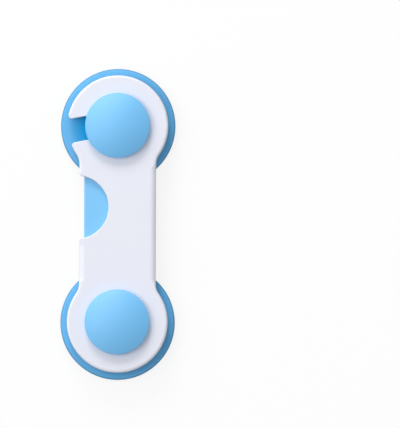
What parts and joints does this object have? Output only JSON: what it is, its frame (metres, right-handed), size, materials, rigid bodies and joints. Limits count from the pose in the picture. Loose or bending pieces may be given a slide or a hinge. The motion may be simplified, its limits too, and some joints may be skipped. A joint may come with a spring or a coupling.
{
  "type": "cabinet safety lock",
  "caption": "Stick-on child safety lock: a white hollow arm turns on one round blue base and hooks the post of another, held by a sprung bolt with a half-moon side button.",
  "frame": {"origin": "midway between the two posts, on the plane of the adhesive faces", "axes": "+Z points away from the cabinet, +Y runs from the pivot post to the keeper post, and the hook slot opens towards -X"},
  "size_m": [0.05, 0.136, 0.0181],
  "materials": {
    "blue_plastic": "satin moulded sky-blue plastic",
    "white_plastic": "satin moulded cool-white plastic",
    "steel": "bright zinc-plated steel",
    "foam": "pale double-sided adhesive foam"
  },
  "bodies": {
    "bases": {"pivot_adhesive_pad": "foam", "pivot_base": "blue_plastic", "pivot_cap_screw": "steel", "pivot_cap": "blue_plastic", "keeper_adhesive_pad": "foam", "keeper_base": "blue_plastic", "keeper_cap_screw": "steel", "keeper_cap": "blue_plastic"},
    "arm": {"arm_cover": "white_plastic", "arm_back_plate": "white_plastic", "arm_screws": "steel", "bolt_spring": "steel"},
    "button": {"side_button": "blue_plastic"},
    "bolt": {"latch_bolt": "blue_plastic"}
  },
  "joints": [
    {"name": "arm_swing", "type": "hinge", "parent": "bases", "child": "arm", "pos_m": [0, -0.043, 0.00825], "axis": [0, 0, -1], "range_deg": [0, 340]},
    {"name": "button_press", "type": "slide", "parent": "arm", "child": "button", "axis": [1, 0, 0], "range_m": [0, 0.004], "stiffness_N_per_m": 150, "springref_m": -0.006},
    {"name": "bolt_draw", "type": "slide", "parent": "arm", "child": "bolt", "axis": [0, -1, 0], "range_m": [0, 0.004], "deforming": ["bolt_spring"]}
  ],
  "couplings": [
    {"joint": "bolt_draw", "follows": "button_press", "ratio": 1}
  ]
}
